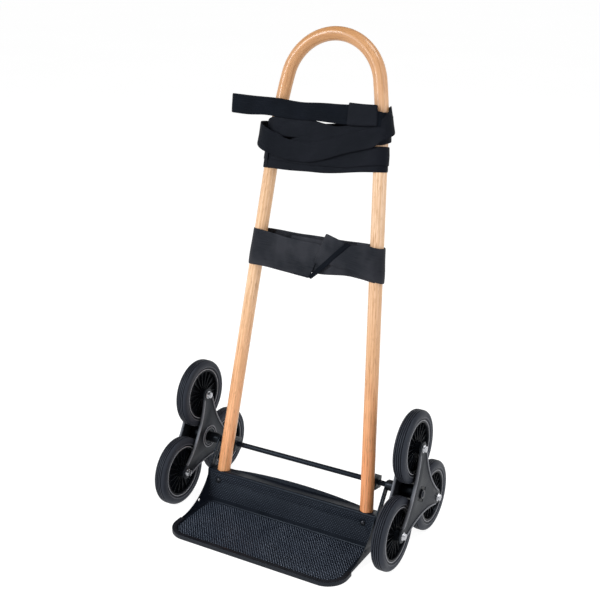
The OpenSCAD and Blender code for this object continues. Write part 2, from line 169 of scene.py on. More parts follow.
# Points of the hoop's plane are (x, off, s): off is behind the plane, s is up along it
hoop = {"lean": 11.0, "axleBehind": 25 * mm, "rod": 15 * mm, "footHalf": 193.5 * mm, "splay": 4.3,
        "legTop": 880 * mm, "slowRadius": 970 * mm, "slowEnd": 11.5, "footLevel": 16 * mm, "sides": 40,
        "legSteps": 6, "slowSteps": 5, "tightSteps": 28}

lean = math.radians(hoop["lean"])
splay = math.radians(hoop["splay"])
slowEnd = math.radians(hoop["slowEnd"])
axlePlace = middle("axle")
hoopY = axlePlace.y - (hoop["axleBehind"] + axlePlace.z * math.sin(lean)) / math.cos(lean)


def railX(s):
    return hoop["footHalf"] - s * math.tan(splay)


def onHoop(x, off, s):
    return Vector((x, hoopY + off * math.cos(lean) + s * math.sin(lean),
                   s * math.cos(lean) - off * math.sin(lean)))


toHoop = Matrix.Translation((0, hoopY, 0)) @ Matrix.Rotation(-lean, 4, "X")

legX = railX(hoop["legTop"])
slowX = legX - hoop["slowRadius"] * math.cos(splay)
slowS = hoop["legTop"] - hoop["slowRadius"] * math.sin(splay)
tightEdge = slowX + hoop["slowRadius"] * math.cos(slowEnd)
tightRadius = tightEdge / math.cos(slowEnd)
tightS = slowS + (hoop["slowRadius"] - tightRadius) * math.sin(slowEnd)

# The three stretches of half the rod: the straight leg, the slow bend and the tight bend to the top
legLength = hoop["legTop"] / math.cos(splay)
slowLength = hoop["slowRadius"] * (slowEnd - splay)
tightLength = tightRadius * (math.pi / 2 - slowEnd)
rodLength = 2 * (legLength + slowLength + tightLength)


# One node material, with short ways to add what drives it
class Finish:
    def __init__(self, name, colour, rough, **sockets):
        self.material = bpy.data.materials.new(name)
        self.material.use_nodes = True
        self.tree = self.material.node_tree
        self.shader = self.tree.nodes["Principled BSDF"]
        self.shader.inputs["Base Color"].default_value = (*colour, 1)
        self.shader.inputs["Roughness"].default_value = rough
        for key, value in sockets.items():
            self.shader.inputs[key.replace("_", " ")].default_value = value

    def node(self, kind, links=None, **settings):
        made = self.tree.nodes.new("ShaderNode" + kind)
        for key, value in settings.items():
            if key in made.inputs:
                made.inputs[key].default_value = value
            else:
                setattr(made, key, value)
        for socket, source in (links or {}).items():
            self.tree.links.new(source, made.inputs[socket])
        return made

    def place(self, scale=(1, 1, 1), uv=False, attribute=None):
        if attribute:
            source = self.node("Attribute", attribute_name=attribute).outputs["Vector"]
        else:
            source = self.node("TexCoord").outputs["UV" if uv else "Object"]
        return self.node("Mapping", {"Vector": source}, Scale=scale).outputs["Vector"]

    def noise(self, vector, scale, detail=4.0, roughness=0.5):
        made = self.node("TexNoise", {"Vector": vector}, Scale=scale, Detail=detail)
        made.inputs["Roughness"].default_value = roughness
        return made.outputs["Fac"]

    def ramp(self, factor, stops):
        made = self.node("ValToRGB", {"Fac": factor})
        elements = made.color_ramp.elements
        while len(elements) < len(stops):
            elements.new(0.5)
        for element, (position, colour) in zip(elements, stops):
            element.position = position
            element.color = (*colour, 1)
        return made.outputs["Color"]

    def span(self, factor, low, high, bottom, top):
        made = self.node("MapRange", {"Value": factor})
        for socket, value in zip(("From Min", "From Max", "To Min", "To Max"), (low, high, bottom, top)):
            made.inputs[socket].default_value = value
        return made.outputs["Result"]

    def maths(self, operation, first, second):
        made = self.node("Math", {0: first}, operation=operation)
        if isinstance(second, (int, float)):
            made.inputs[1].default_value = second
        else:
            self.tree.links.new(second, made.inputs[1])
        return made.outputs["Value"]

    def mix(self, factor, first, second, blend="MIX"):
        made = self.node("Mix", data_type="RGBA", blend_type=blend)
        for socket, source in ((0, factor), (6, first), (7, second)):
            if isinstance(source, (int, float)):
                made.inputs[socket].default_value = source
            elif isinstance(source, tuple):
                made.inputs[socket].default_value = (*source, 1)
            else:
                self.tree.links.new(source, made.inputs[socket])
        return made.outputs[2]

    def bump(self, height, strength, distance, below=None):
        links = {"Height": height}
        if below:
            links["Normal"] = below
        made = self.node("Bump", links, Strength=strength, Distance=distance)
        return made.outputs["Normal"]

    def set(self, socket, source):
        self.tree.links.new(source, self.shader.inputs[socket])
        return self


# Highlights on the black parts are a little cool
coolSheen = (0.70, 0.84, 1.0, 1.0)


# The wood's colour along the rod, from the right foot (0) over the top to the left foot (1); the arch is
# darker partly from the wood's tone and partly from painted shade over its top, set against the top light
rodTonesAndTopShade = [(0.0, (0.82, 0.310, 0.130)), (0.09, (0.80, 0.330, 0.150)), (0.18, (0.66, 0.385, 0.225)),
            (0.31, (0.70, 0.500, 0.355)), (0.36, (0.69, 0.480, 0.330)), (0.42, (0.54, 0.310, 0.180)),
            (0.50, (0.38, 0.185, 0.078)), (0.58, (0.50, 0.262, 0.132)), (0.65, (0.60, 0.395, 0.250)),
            (0.78, (0.74, 0.490, 0.315)), (0.92, (0.82, 0.385, 0.190)), (1.0, (0.80, 0.345, 0.160))]


def beechWood():
    look = Finish("lacqueredBeech", (0.62, 0.36, 0.17), 0.30, Coat_Weight=0.22, Coat_Roughness=0.10,
                  Specular_IOR_Level=0.3)
    streaks = look.noise(look.place((1, 1, 0.045), attribute="grain"), 250, 6, 0.66)
    pores = look.noise(look.place((1, 1, 0.09), attribute="grain"), 520, 3, 0.6)
    clouds = look.noise(look.place((1, 1, 0.5), attribute="grain"), 16, 3)
    rings = look.node("TexWave", {"Vector": look.place((1, 1, 0.02), attribute="grain")}, Scale=52,
                      Distortion=5.0, Detail=3.0)
    rings.inputs["Detail Scale"].default_value = 1.4
    along = look.node("SeparateXYZ", {"Vector": look.place(attribute="grain")}).outputs["Z"]
    tone = look.ramp(look.span(along, 0.0, rodLength, 0.0, 1.0), rodTonesAndTopShade)
    light = look.ramp(streaks, [(0.32, (0.55, 0.44, 0.33)), (0.44, (1.0, 0.98, 0.94)),
                                (0.58, (1.10, 1.12, 1.12)), (0.70, (0.78, 0.71, 0.60))])
    pale = look.mix(1.0, tone, light, "MULTIPLY")
    ringed = look.mix(look.span(rings.outputs["Fac"], 0.0, 1.0, 0.0, 0.42), pale, (0.46, 0.25, 0.10))
    flecked = look.mix(look.span(pores, 0.56, 0.68, 0.0, 0.65), ringed, (0.27, 0.125, 0.045))
    warm = look.mix(look.span(clouds, 0.40, 0.70, 0.0, 0.30), flecked, (0.52, 0.27, 0.11))
    look.set("Base Color", warm)
    look.set("Roughness", look.span(streaks, 0.3, 0.7, 0.28, 0.42))
    look.set("Normal", look.bump(pores, 0.12, 0.0002, look.bump(streaks, 0.08, 0.0003)))
    return look.material


def powderCoat():
    look = Finish("blackPowderCoat", (0.008, 0.010, 0.014), 0.42, Specular_IOR_Level=0.18,
                  Specular_Tint=coolSheen)
    spots = look.noise(look.place(), 900, 2)
    cloud = look.noise(look.place(), 22, 3)
    look.set("Base Color", look.ramp(cloud, [(0.3, (0.003, 0.0045, 0.008)), (0.7, (0.006, 0.008, 0.0135))]))
    look.set("Roughness", look.span(cloud, 0.3, 0.7, 0.36, 0.50))
    look.set("Normal", look.bump(spots, 0.22, 0.00025))
    return look.material


def gripCoat(name, dark, pale):
    look = Finish(name, dark, 0.5, Specular_IOR_Level=0.45, Specular_Tint=coolSheen)
    spots = look.noise(look.place(), 1400, 2)
    cloud = look.noise(look.place(), 14, 4)
    look.set("Base Color", look.ramp(cloud, [(0.3, dark), (0.7, pale)]))
    look.set("Roughness", look.span(spots, 0.3, 0.7, 0.42, 0.66))
    look.set("Normal", look.bump(spots, 0.3, 0.0002))
    return look.material


def blackMoulding(name="blackMoulding", shine=0.25):
    look = Finish(name, (0.004, 0.0045, 0.006), 0.36, Specular_IOR_Level=shine, Specular_Tint=coolSheen)
    cloud = look.noise(look.place(), 60, 4)
    look.set("Base Color", look.ramp(cloud, [(0.3, (0.0015, 0.0018, 0.0028)),
                                             (0.7, (0.0035, 0.004, 0.0055))]))
    look.set("Roughness", look.span(cloud, 0.3, 0.7, 0.3, 0.48))
    look.set("Normal", look.bump(look.noise(look.place(), 1500, 2), 0.12, 0.0002))
    return look.material


def grainedMoulding():
    look = Finish("grainedMoulding", (0.030, 0.031, 0.038), 0.45, Specular_IOR_Level=0.28,
                  Specular_Tint=coolSheen)
    fine = look.noise(look.place(), 1300, 3)
    cloud = look.noise(look.place(), 35, 4)
    grain = look.node("TexVoronoi", {"Vector": look.place()}, Scale=900.0)
    # The recesses are painted near black as shade and the crests pale grey as highlight
    paintedLight = look.node("Attribute", attribute_name="paintedLight").outputs["Fac"]
    hollow = look.ramp(cloud, [(0.3, (0.004, 0.0045, 0.006)), (0.7, (0.014, 0.0145, 0.018))])
    look.set("Base Color", look.mix(paintedLight, hollow, (0.17, 0.172, 0.190)))
    look.set("Roughness", look.span(fine, 0.3, 0.7, 0.40, 0.58))
    look.set("Normal", look.bump(grain.outputs["Distance"], 0.25, 0.0003))
    return look.material


def tyreRubber():
    look = Finish("tyreRubber", (0.012, 0.013, 0.018), 0.5, Specular_IOR_Level=0.22,
                  Specular_Tint=coolSheen)
    cloud = look.noise(look.place(), 30, 5)
    fine = look.noise(look.place(), 1100, 3)
    # The tyre's tone carries painted light and shade: highlights on the bead and the sidewall ring, shade
    # in the channel and the grooves
    paintedLight = look.node("Attribute", attribute_name="paintedLight").outputs["Fac"]
    dull = look.ramp(cloud, [(0.28, (0.8, 0.8, 0.8)), (0.75, (1.0, 1.0, 1.0))])
    tone = look.ramp(paintedLight, [(0.0, (0.0015, 0.0018, 0.003)), (0.5, (0.023, 0.025, 0.033)),
                            (0.8, (0.080, 0.082, 0.095)), (1.0, (0.26, 0.26, 0.28))])
    look.set("Base Color", look.mix(1.0, tone, dull, "MULTIPLY"))
    look.set("Roughness", look.span(cloud, 0.3, 0.7, 0.44, 0.62))
    look.set("Normal", look.bump(fine, 0.15, 0.0002))
    return look.material


def trimRubber():
    look = Finish("trimRubber", (0.005, 0.005, 0.007), 0.45, Specular_IOR_Level=0.25,
                  Specular_Tint=coolSheen)
    cloud = look.noise(look.place(), 40, 4)
    look.set("Base Color", look.ramp(cloud, [(0.3, (0.004, 0.004, 0.006)), (0.7, (0.009, 0.009, 0.012))]))
    look.set("Roughness", look.span(cloud, 0.3, 0.7, 0.4, 0.56))
    look.set("Normal", look.bump(look.noise(look.place(), 700, 2), 0.12, 0.0002))
    return look.material


def brightZinc(name="brightZinc", colour=(0.50, 0.51, 0.54), rough=0.24):
    look = Finish(name, colour, rough, Metallic=1.0)
    cloud = look.noise(look.place(), 240, 4)
    darker = tuple(0.7 * part for part in colour)
    look.set("Base Color", look.ramp(cloud, [(0.3, darker), (0.7, colour)]))
    look.set("Roughness", look.span(cloud, 0.3, 0.7, rough - 0.08, rough + 0.12))
    look.set("Normal", look.bump(look.noise(look.place(), 1800, 2), 0.08, 0.0001))
    return look.material


def naturalNylon():
    look = Finish("naturalNylon", (0.55, 0.52, 0.45), 0.42, Subsurface_Weight=0.1)
    cloud = look.noise(look.place(), 90, 3)
    look.set("Base Color", look.ramp(cloud, [(0.3, (0.48, 0.45, 0.38)), (0.7, (0.62, 0.59, 0.52))]))
    look.set("Normal", look.bump(cloud, 0.05, 0.0002))
    return look.material


def wovenCloth(name, dark, light, ribs, picks, sheen, rough, shine):
    look = Finish(name, dark, rough, Sheen_Weight=sheen, Sheen_Roughness=0.4, Specular_IOR_Level=shine,
                  Specular_Tint=coolSheen)
    flat = look.place(uv=True)
    lengthwise = look.node("TexWave", {"Vector": flat}, Scale=ribs, bands_direction="Y",
                           wave_profile="SIN")
    crosswise = look.node("TexWave", {"Vector": flat}, Scale=picks, bands_direction="X",
                          wave_profile="SIN")
    for wave in (lengthwise, crosswise):
        wave.inputs["Distortion"].default_value = 0.4
    weave = look.maths("MULTIPLY", lengthwise.outputs["Fac"], crosswise.outputs["Fac"])
    streak = look.noise(look.place((0.08, 1, 1), uv=True), 420, 4)
    cloud = look.noise(look.place(), 15, 3)
    between = tuple(0.5 * (a + b) for a, b in zip(dark, light))
    yarn = look.ramp(streak, [(0.3, dark), (0.7, between)])
    # The lighter cloudy patches mixed into the yarn are painted sheen
    paintedSheen = look.mix(look.span(cloud, 0.42, 0.60, 0.0, 0.8), yarn, light)
    look.set("Base Color", paintedSheen)
    look.set("Roughness", look.span(streak, 0.3, 0.7, rough - 0.1, rough + 0.08))
    look.set("Normal", look.bump(weave, 0.5, 0.0005, look.bump(cloud, 0.2, 0.002)))
    return look.material


finish = {
    "wood": beechWood(), "steel": powderCoat(), "black": blackMoulding(),
    # One anti-slip coat in two copies: the upward plate is painted lighter and bluer as light from above,
    # the upright panel darker as painted shade
    "plateGripPaintedLit": gripCoat("plateGripPaintedLit", (0.046, 0.058, 0.084), (0.104, 0.122, 0.160)),
    "panelGripPaintedShade": gripCoat("panelGripPaintedShade", (0.016, 0.021, 0.032), (0.038, 0.046, 0.063)),
    "rim": blackMoulding("blackRim", 0.13),
    "star": grainedMoulding(), "rubber": tyreRubber(), "trim": trimRubber(), "zinc": brightZinc(),
    "blackBolt": brightZinc("blackBolt", (0.045, 0.048, 0.056), 0.36), "nylon": naturalNylon(),
    "webbing": wovenCloth("blackWebbing", (0.0026, 0.0028, 0.0045), (0.0050, 0.0052, 0.0080),
                          130, 260, 0.0, 0.6, 0.10),
    "elastic": wovenCloth("darkElastic", (0.0050, 0.0055, 0.0080), (0.0250, 0.0250, 0.0300),
                          210, 300, 0.01, 0.5, 0.12),
    "loop": wovenCloth("fasteningLoop", (0.0018, 0.0024, 0.0042), (0.0034, 0.0044, 0.0074),
                       70, 420, 0.0, 0.7, 0.08),
}
print("materials made")


def buildHoop():
    start = hoop["footLevel"]
    bpy.ops.mesh.primitive_circle_add(vertices=hoop["sides"], radius=hoop["rod"], fill_type="NOTHING",
                                      location=(railX(start), 0, start), rotation=(0, -splay, 0))
    piece = bpy.context.object
    settle(piece)
    editAll(piece)
    step = (hoop["legTop"] - start) / math.cos(splay) / hoop["legSteps"]
    for _ in range(hoop["legSteps"]):
        bpy.ops.mesh.extrude_region_move(TRANSFORM_OT_translate={
            "value": (-step * math.sin(splay), 0, step * math.cos(splay))})
    bpy.ops.mesh.spin(steps=hoop["slowSteps"], angle=slowEnd - splay, center=(slowX, 0, slowS),
                      axis=(0, 1, 0))
    bpy.ops.mesh.spin(steps=hoop["tightSteps"], angle=math.pi / 2 - slowEnd, center=(0, 0, tightS),
                      axis=(0, 1, 0))
    endEdit()
    addModifier(piece, "MIRROR", use_mirror_merge=True, merge_threshold=0.05 * mm)
    editAll(piece)
    bpy.ops.mesh.remove_doubles(threshold=0.01 * mm)
    bpy.ops.mesh.select_all(action="DESELECT")
    bpy.ops.mesh.select_non_manifold(extend=False)
    bpy.ops.mesh.edge_face_add()
    bpy.ops.mesh.select_all(action="SELECT")
    bpy.ops.mesh.normals_make_consistent(inside=False)
    endEdit()
    grain = piece.data.attributes.new("grain", "FLOAT_VECTOR", "POINT")
    for vertex, value in zip(piece.data.vertices, grain.data):
        value.vector = grainPlace(*vertex.co)
    piece.data.transform(toHoop)
    smooth(piece, 40)
    finishPiece(piece, "woodenHoop", "frame", finish["wood"], "beech", "hoop")


# How far across the rod a point is, and how far along it from the right foot
def grainPlace(x, off, s):
    reach = abs(x)
    turn = math.atan2(s - slowS, reach - slowX)
    if turn < splay:
        along = s / math.cos(splay)
        across = (reach - railX(s)) * math.cos(splay)
    elif turn < slowEnd:
        along = legLength + hoop["slowRadius"] * (turn - splay)
        across = math.hypot(reach - slowX, s - slowS) - hoop["slowRadius"]
    else:
        turn = math.atan2(s - tightS, reach)
        along = legLength + slowLength + tightRadius * (turn - slowEnd)
        across = math.hypot(reach, s - tightS) - tightRadius
    return (across, off, along if x > 0 else rodLength - along)


buildHoop()
print("hoop made")


# A merged copy of a CAD part, its sharp edges bevelled, that stands for the part
def roundedCopy(node, width, material, slot, segments=2, angle=28):
    source = frame["nodes"][node]
    piece = bpy.data.objects.new(node + "_shell", source.data.copy())
    bpy.context.scene.collection.objects.link(piece)
    selectOnly(piece)
    if piece.data.has_custom_normals:
        bpy.ops.mesh.customdata_custom_splitnormals_clear()
    editAll(piece)
    bpy.ops.mesh.remove_doubles(threshold=0.004 * mm)
    bpy.ops.mesh.dissolve_limited(angle_limit=math.radians(0.6))
    endEdit()
    addModifier(piece, "BEVEL", width=width, segments=segments, limit_method="ANGLE",
                angle_limit=math.radians(angle), use_clamp_overlap=True)
    smooth(piece, 32)
    finishPiece(piece, node + "_shell", source["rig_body"], material, slot, node)
    return piece


# The width of each part's rounded edge in mm, and its finish
hardParts = {
    "toe_plate": (0.5, "steel"), "rear_plate": (0.5, "steel"), "edge_trim": (1.6, "trim"),
    "rail_bolts": (0.25, "blackBolt"), "rail_nuts": (0.35, "zinc"), "axle": (0.8, "steel"),
    "saddle_left": (1.2, "black"), "saddle_right": (1.2, "black"), "saddle_screws": (0.2, "zinc"),
    "bracket_left": (0.5, "steel"), "bracket_right": (0.5, "steel"), "bracket_bolts": (0.25, "zinc"),
    "bracket_nuts": (0.35, "zinc"), "axle_collars": (0.6, "black"), "push_nuts": (0.4, "blackBolt"),
}
for side in sides:
    hardParts["star_inner_" + side] = (0.7, "star")
    hardParts["star_outer_" + side] = (0.7, "star")
    hardParts["hub_barrel_" + side] = (0.6, "rim")
    hardParts["hub_bushes_" + side] = (0.3, "rim")
    hardParts["wheel_bolts_" + side] = (0.4, "zinc")
    hardParts["wheel_nuts_" + side] = (0.4, "zinc")
    hardParts["wheel_washers_" + side] = (0.25, "zinc")

slotOf = {row["node"]: row["material_slot"] for row in frame["record"]["subparts"]}
wheelX = middle("tyre_right_top").x

# From the wheels' middle plane out to where a star plate's painted highlight starts, and to where it is
# full; nearer in, in the recesses, the plate is painted dark as shade
starEdge = {"dark": 24.3 * mm, "paintedSheen": 25.9 * mm}


def starPaintedLight(spot):
    out = abs(abs(spot.x) - wheelX)
    return min(max((out - starEdge["dark"]) / (starEdge["paintedSheen"] - starEdge["dark"]), 0), 1)


for node, (width, look) in hardParts.items():
    segments = 4 if node == "edge_trim" else 2
    shell = roundedCopy(node, width * mm, finish[look], slotOf[node], segments)
    # The star plates get painted shade in their recesses and painted highlights on their crests
    if look == "star":
        markPaintedLight(shell, starPaintedLight)
print("hard parts rounded")


# Sizes in mm
tyre = {"radius": 80, "half": 14.5, "bead": 57, "beadHalf": 11.5, "shoulder": 9.5, "grooves": 4,
        "grooveGap": 4.4, "grooveWide": 2.0, "grooveDeep": 2.2, "grooveDraft": 0.15, "arcSteps": 10,
        "bevel": 0.22, "steps": 112}
rim = {"bore": 7, "hub": 13, "hubHalf": 18, "web": 3.6, "wallIn": 52.8, "edge": 57, "half": 11.5,
       "ribs": 18, "ribThick": 1.6, "ribHigh": 8.6, "ribFall": 1.6,
       "ribBevel": 0.35, "steps": 80}


# The outline is a closed loop of (radius, along) in mm, turned about the X axis
def spinOutline(name, outline, steps):
    bpy.ops.mesh.primitive_circle_add(vertices=len(outline), radius=1)
    piece = bpy.context.object
    for vertex, (radius, along) in zip(piece.data.vertices, outline):
        vertex.co = (along * mm, 0, radius * mm)
    editAll(piece)
    bpy.ops.mesh.spin(steps=steps, angle=2 * math.pi, center=(0, 0, 0), axis=(1, 0, 0))
    endEdit()
    tidyMesh(piece, 0.01 * mm)
    piece.name = name
    return piece


def tyreOutline():
    outer = tyre["radius"] - tyre["shoulder"]
    side = tyre["half"] - tyre["shoulder"]
    bead = tyre["bead"]
    beadHalf = tyre["beadHalf"]
    half = [(bead, beadHalf - 1), (bead + 0.4, beadHalf + 0.9), (bead + 1.3, beadHalf + 1.5),
            (bead + 2.4, beadHalf + 1.1), (bead + 3.0, beadHalf - 0.2), (bead + 4.6, beadHalf + 0.2),
            (bead + 6.6, tyre["half"] - 1.6), (bead + 7.4, tyre["half"] - 0.3),
            (bead + 8.6, tyre["half"] - 0.3), (bead + 9.4, tyre["half"] - 0.9),
            (bead + 11.0, tyre["half"] - 0.5)]
    for step in range(tyre["arcSteps"] + 1):
        angle = math.pi / 2 * step / tyre["arcSteps"]
        half.append((outer + tyre["shoulder"] * math.sin(angle), side + tyre["shoulder"] * math.cos(angle)))
    half = cutGrooves(half)
    return half + [(radius, -along) for radius, along in reversed(half)]


# Grooves are cut square into the crown and the shoulders, from the side towards the middle
def cutGrooves(half):
    outer = tyre["radius"] - tyre["shoulder"]
    side = tyre["half"] - tyre["shoulder"]
    centres = [(i + 0.5) * tyre["grooveGap"] for i in range(tyre["grooves"] // 2)]
    for centre in reversed(centres):
        walls = []
        for edge in (centre + tyre["grooveWide"] / 2, centre - tyre["grooveWide"] / 2):
            beyond = max(edge - side, 0)
            walls.append((outer + math.sqrt(tyre["shoulder"] ** 2 - beyond ** 2), edge))
        (highA, edgeA), (highB, edgeB) = walls
        cut = [(highA, edgeA), (highA - tyre["grooveDeep"], edgeA - tyre["grooveDraft"]),
               (highB - tyre["grooveDeep"], edgeB + tyre["grooveDraft"]), (highB, edgeB)]
        kept = [point for point in half if point[1] > edgeA or point[0] < outer]
        rest = [point for point in half if point[1] < edgeB and point[0] >= outer]
        half = kept + cut + rest
    return half


# Where light and shade are painted on the tyre, as heights above the bead in mm, and how light each stretch
# is painted: painted highlights on the bead and the sidewall ring, painted shade in the channel and the
# grooves
tyrePaintedBands = {"beadTop": 2.6, "channelTop": 5.0, "ringLow": 7.0, "ringHigh": 9.0, "inGroove": 0.4,
            "bead": 1.0, "beadSide": 0.3, "channel": 0.1, "ring": 0.8, "groove": 0.0, "rest": 0.5}


def tyrePaintedLight(spot):
    radius = math.hypot(spot.y, spot.z) / mm
    along = abs(spot.x) / mm
    outer = tyre["radius"] - tyre["shoulder"]
    beyond = max(along - (tyre["half"] - tyre["shoulder"]), 0)
    crown = outer + math.sqrt(max(tyre["shoulder"] ** 2 - beyond ** 2, 0))
    height = radius - tyre["bead"]
    if height < tyrePaintedBands["beadTop"]:
        return tyrePaintedBands["bead"] if along > tyre["beadHalf"] + 0.5 else tyrePaintedBands["beadSide"]
    if height < tyrePaintedBands["channelTop"]:
        return tyrePaintedBands["channel"]
    if tyrePaintedBands["ringLow"] < height < tyrePaintedBands["ringHigh"]:
        return tyrePaintedBands["ring"]
    if radius > outer and crown - radius > tyrePaintedBands["inGroove"]:
        return tyrePaintedBands["groove"]
    return tyrePaintedBands["rest"]


def buildTyre():
    piece = spinOutline("tyre", tyreOutline(), tyre["steps"])
    addModifier(piece, "BEVEL", width=tyre["bevel"] * mm, segments=2, limit_method="ANGLE",
                angle_limit=math.radians(38), use_clamp_overlap=True)
    markPaintedLight(piece, tyrePaintedLight)
    smooth(piece, 40)
    return piece


def buildRim():
    half = [(rim["bore"], rim["hubHalf"]), (rim["hub"] - 0.8, rim["hubHalf"]),
            (rim["hub"], rim["hubHalf"] - 0.8), (rim["hub"] + 0.4, rim["web"] + 1),
            (rim["hub"] + 1.4, rim["web"]),
            (rim["wallIn"] - 1.2, rim["web"]), (rim["wallIn"] - 0.2, rim["web"] + 1),
            (rim["wallIn"] + 0.5, rim["half"] - 0.6), (rim["wallIn"] + 1.1, rim["half"] + 0.2),
            (rim["edge"] - 1.0, rim["half"] + 0.5), (rim["edge"] - 0.2, rim["half"] - 0.1),
            (rim["edge"], rim["half"] - 1.4)]
    outline = half + [(radius, -along) for radius, along in reversed(half)]
    plate = spinOutline("rim", outline, rim["steps"])
    ribs = []
    length = rim["wallIn"] - rim["hub"] + 1
    for face in (1, -1):
        size = (rim["ribHigh"] * mm, rim["ribThick"] * mm, length * mm)
        place = (face * (rim["ribHigh"] / 2 + 1) * mm, 0, (rim["hub"] - 0.5 + length / 2) * mm)
        bpy.ops.mesh.primitive_cube_add(size=1, scale=size, location=place)
        rib = bpy.context.object
        settle(rib)
        # The rib falls away towards the wall
        for vertex in rib.data.vertices:
            if vertex.co.z > 2 * rim["hub"] * mm and abs(vertex.co.x) > 2 * mm:
                vertex.co.x -= face * rim["ribFall"] * mm
        addModifier(rib, "BEVEL", width=rim["ribBevel"] * mm, segments=2, limit_method="ANGLE")
        ribs.append(rib)
        for i in range(1, rim["ribs"]):
            twin = copyTo(rib)
            twin.rotation_euler = (2 * math.pi * i / rim["ribs"], 0, 0)
            settle(twin)
            ribs.append(twin)
    piece = joinPieces([plate] + ribs)
    smooth(piece, 35)
    return piece


def placeWheels():
    tyrePattern = buildTyre()
    rimPattern = buildRim()
    for side in sides:
        for place in wheelPlaces:
            ending = side + "_" + place
            centre = middle("tyre_" + ending)
            body = "wheel_" + ending
            twin = copyTo(tyrePattern, centre)
            finishPiece(twin, "ribbedTyre_" + ending, body, finish["rubber"], "tyre_rubber",
                        "tyre_" + ending)
            twin = copyTo(rimPattern, centre)
            finishPiece(twin, "ribbedRim_" + ending, body, finish["rim"], "rim_plastic", "rim_" + ending)
            bush = frame["nodes"]["bush_" + ending].data
            bush.materials.clear()
            bush.materials.append(finish["nylon"])
    for pattern in (tyrePattern, rimPattern):
        bpy.data.objects.remove(pattern)


placeWheels()
print("wheels made")


# The anti-slip pips: each kind of pip is (width, depth, height) in mm
relief = {"pitch": 6.2 * mm, "row": 4.0 * mm, "platePip": (3.0, 1.9, 0.55), "panelPip": (3.8, 1.7, 0.5),
          "plateX": 205 * mm, "panelX": 212 * mm, "panelLow": 14 * mm, "panelHigh": 76 * mm,
          "topShare": (0.62, 0.55), "sunk": 0.1 * mm, "boltUp": 57 * mm, "boltClear": 9 * mm}
toePlate = {"half": 217 * mm, "depth": 158 * mm, "sheet": 2 * mm, "corner": 45 * mm, "trimOver": 9 * mm,
            "pipGap": 1 * mm, "panelGap": 0.2 * mm}


# A low pillow with a small flat top
def buildPip(size):
    wide, deep, high = (part * mm for part in size)
    bpy.ops.mesh.primitive_cube_add(size=1, scale=(wide, deep, high * 2))
    pip = bpy.context.object
    settle(pip)
    for vertex in pip.data.vertices:
        if vertex.co.z > 0:
            vertex.co.x *= relief["topShare"][0]
            vertex.co.y *= relief["topShare"][1]
        else:
            vertex.co.z = -relief["sunk"]
    editAll(pip)
    bpy.ops.mesh.select_all(action="DESELECT")
    endEdit()
    for face in pip.data.polygons:
        face.select = face.normal.z < -0.9
    selectOnly(pip)
    bpy.ops.object.mode_set(mode="EDIT")
    bpy.ops.mesh.delete(type="FACE")
    endEdit()
    return pip


# Staggered rows of pips from low to high in y, kept where keep(x, y) says
def pipField(size, halfWide, low, high, keep):
    rows = int((high - low) / relief["row"])
    columns = int(2 * halfWide / relief["pitch"])
    field = []
    for parity in (0, 1):
        pip = buildPip(size)
        pip.location = (-columns / 2 * relief["pitch"] + parity * relief["pitch"] / 2,
                        low + (parity + 0.5) * relief["row"], 0)
        settle(pip)
        addModifier(pip, "ARRAY", count=columns + 1 - parity, use_relative_offset=False,
                    use_constant_offset=True, constant_offset_displace=(relief["pitch"], 0, 0))
        addModifier(pip, "ARRAY", count=(rows + 1 - parity) // 2, use_relative_offset=False,
                    use_constant_offset=True, constant_offset_displace=(0, 2 * relief["row"], 0))
        field.append(pip)
    piece = joinPieces(field)
    corners = 8
    for first in range(0, len(piece.data.vertices), corners):
        group = piece.data.vertices[first:first + corners]
        x = sum(vertex.co.x for vertex in group) / corners
        y = sum(vertex.co.y for vertex in group) / corners
        for vertex in group:
            vertex.select = not keep(x, y)
    selectOnly(piece)
    bpy.ops.object.mode_set(mode="EDIT")
    bpy.ops.mesh.select_mode(type="VERT")
    bpy.ops.mesh.delete(type="VERT")
    endEdit()
    smooth(piece, 20)
    return piece


def buildRelief():
    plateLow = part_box("toe_plate")[0]
    frontEdge = plateLow[1]

    def onPlate(x, y):
        inside = frontEdge + toePlate["trimOver"] + toePlate["pipGap"]
        dx = abs(x) - (toePlate["half"] - toePlate["corner"])
        dy = frontEdge + toePlate["corner"] - y
        bend = toePlate["corner"] - toePlate["trimOver"] - toePlate["pipGap"]
        if dx > 0 and dy > 0 and math.hypot(dx, dy) > bend:
            return False
        return y > inside

    fold = frontEdge + toePlate["depth"] + toePlate["sheet"]
    floorPips = pipField(relief["platePip"], relief["plateX"], frontEdge, fold, onPlate)
    floorPips.location = (0, 0, plateLow[2] + toePlate["sheet"])
    settle(floorPips)
    finishPiece(floorPips, "plateRelief", "frame", finish["plateGripPaintedLit"], "black_steel")

    def onPanel(x, y):
        fromBolt = math.hypot(abs(x) - railX(relief["boltUp"]), y - relief["boltUp"])
        return fromBolt > relief["boltClear"]

    wallPips = pipField(relief["panelPip"], relief["panelX"], relief["panelLow"], relief["panelHigh"],
                        onPanel)
    # Now the field stands up and faces the load
    wallPips.data.transform(Matrix.Rotation(math.pi / 2, 4, "X"))
    panelOff = -(hoop["rod"] + toePlate["sheet"] + toePlate["panelGap"])
    wallPips.data.transform(toHoop @ Matrix.Translation((0, panelOff, 0)))
    finishPiece(wallPips, "panelRelief", "frame", finish["panelGripPaintedShade"], "black_steel")


buildRelief()
print("relief made")


# A strap is a row of stations, each the place of its top edge and of its bottom edge as (x, off, s) in mm
strap = {"step": 5.0, "rows": 8, "thick": 1.6 * mm, "bare": 15.0}


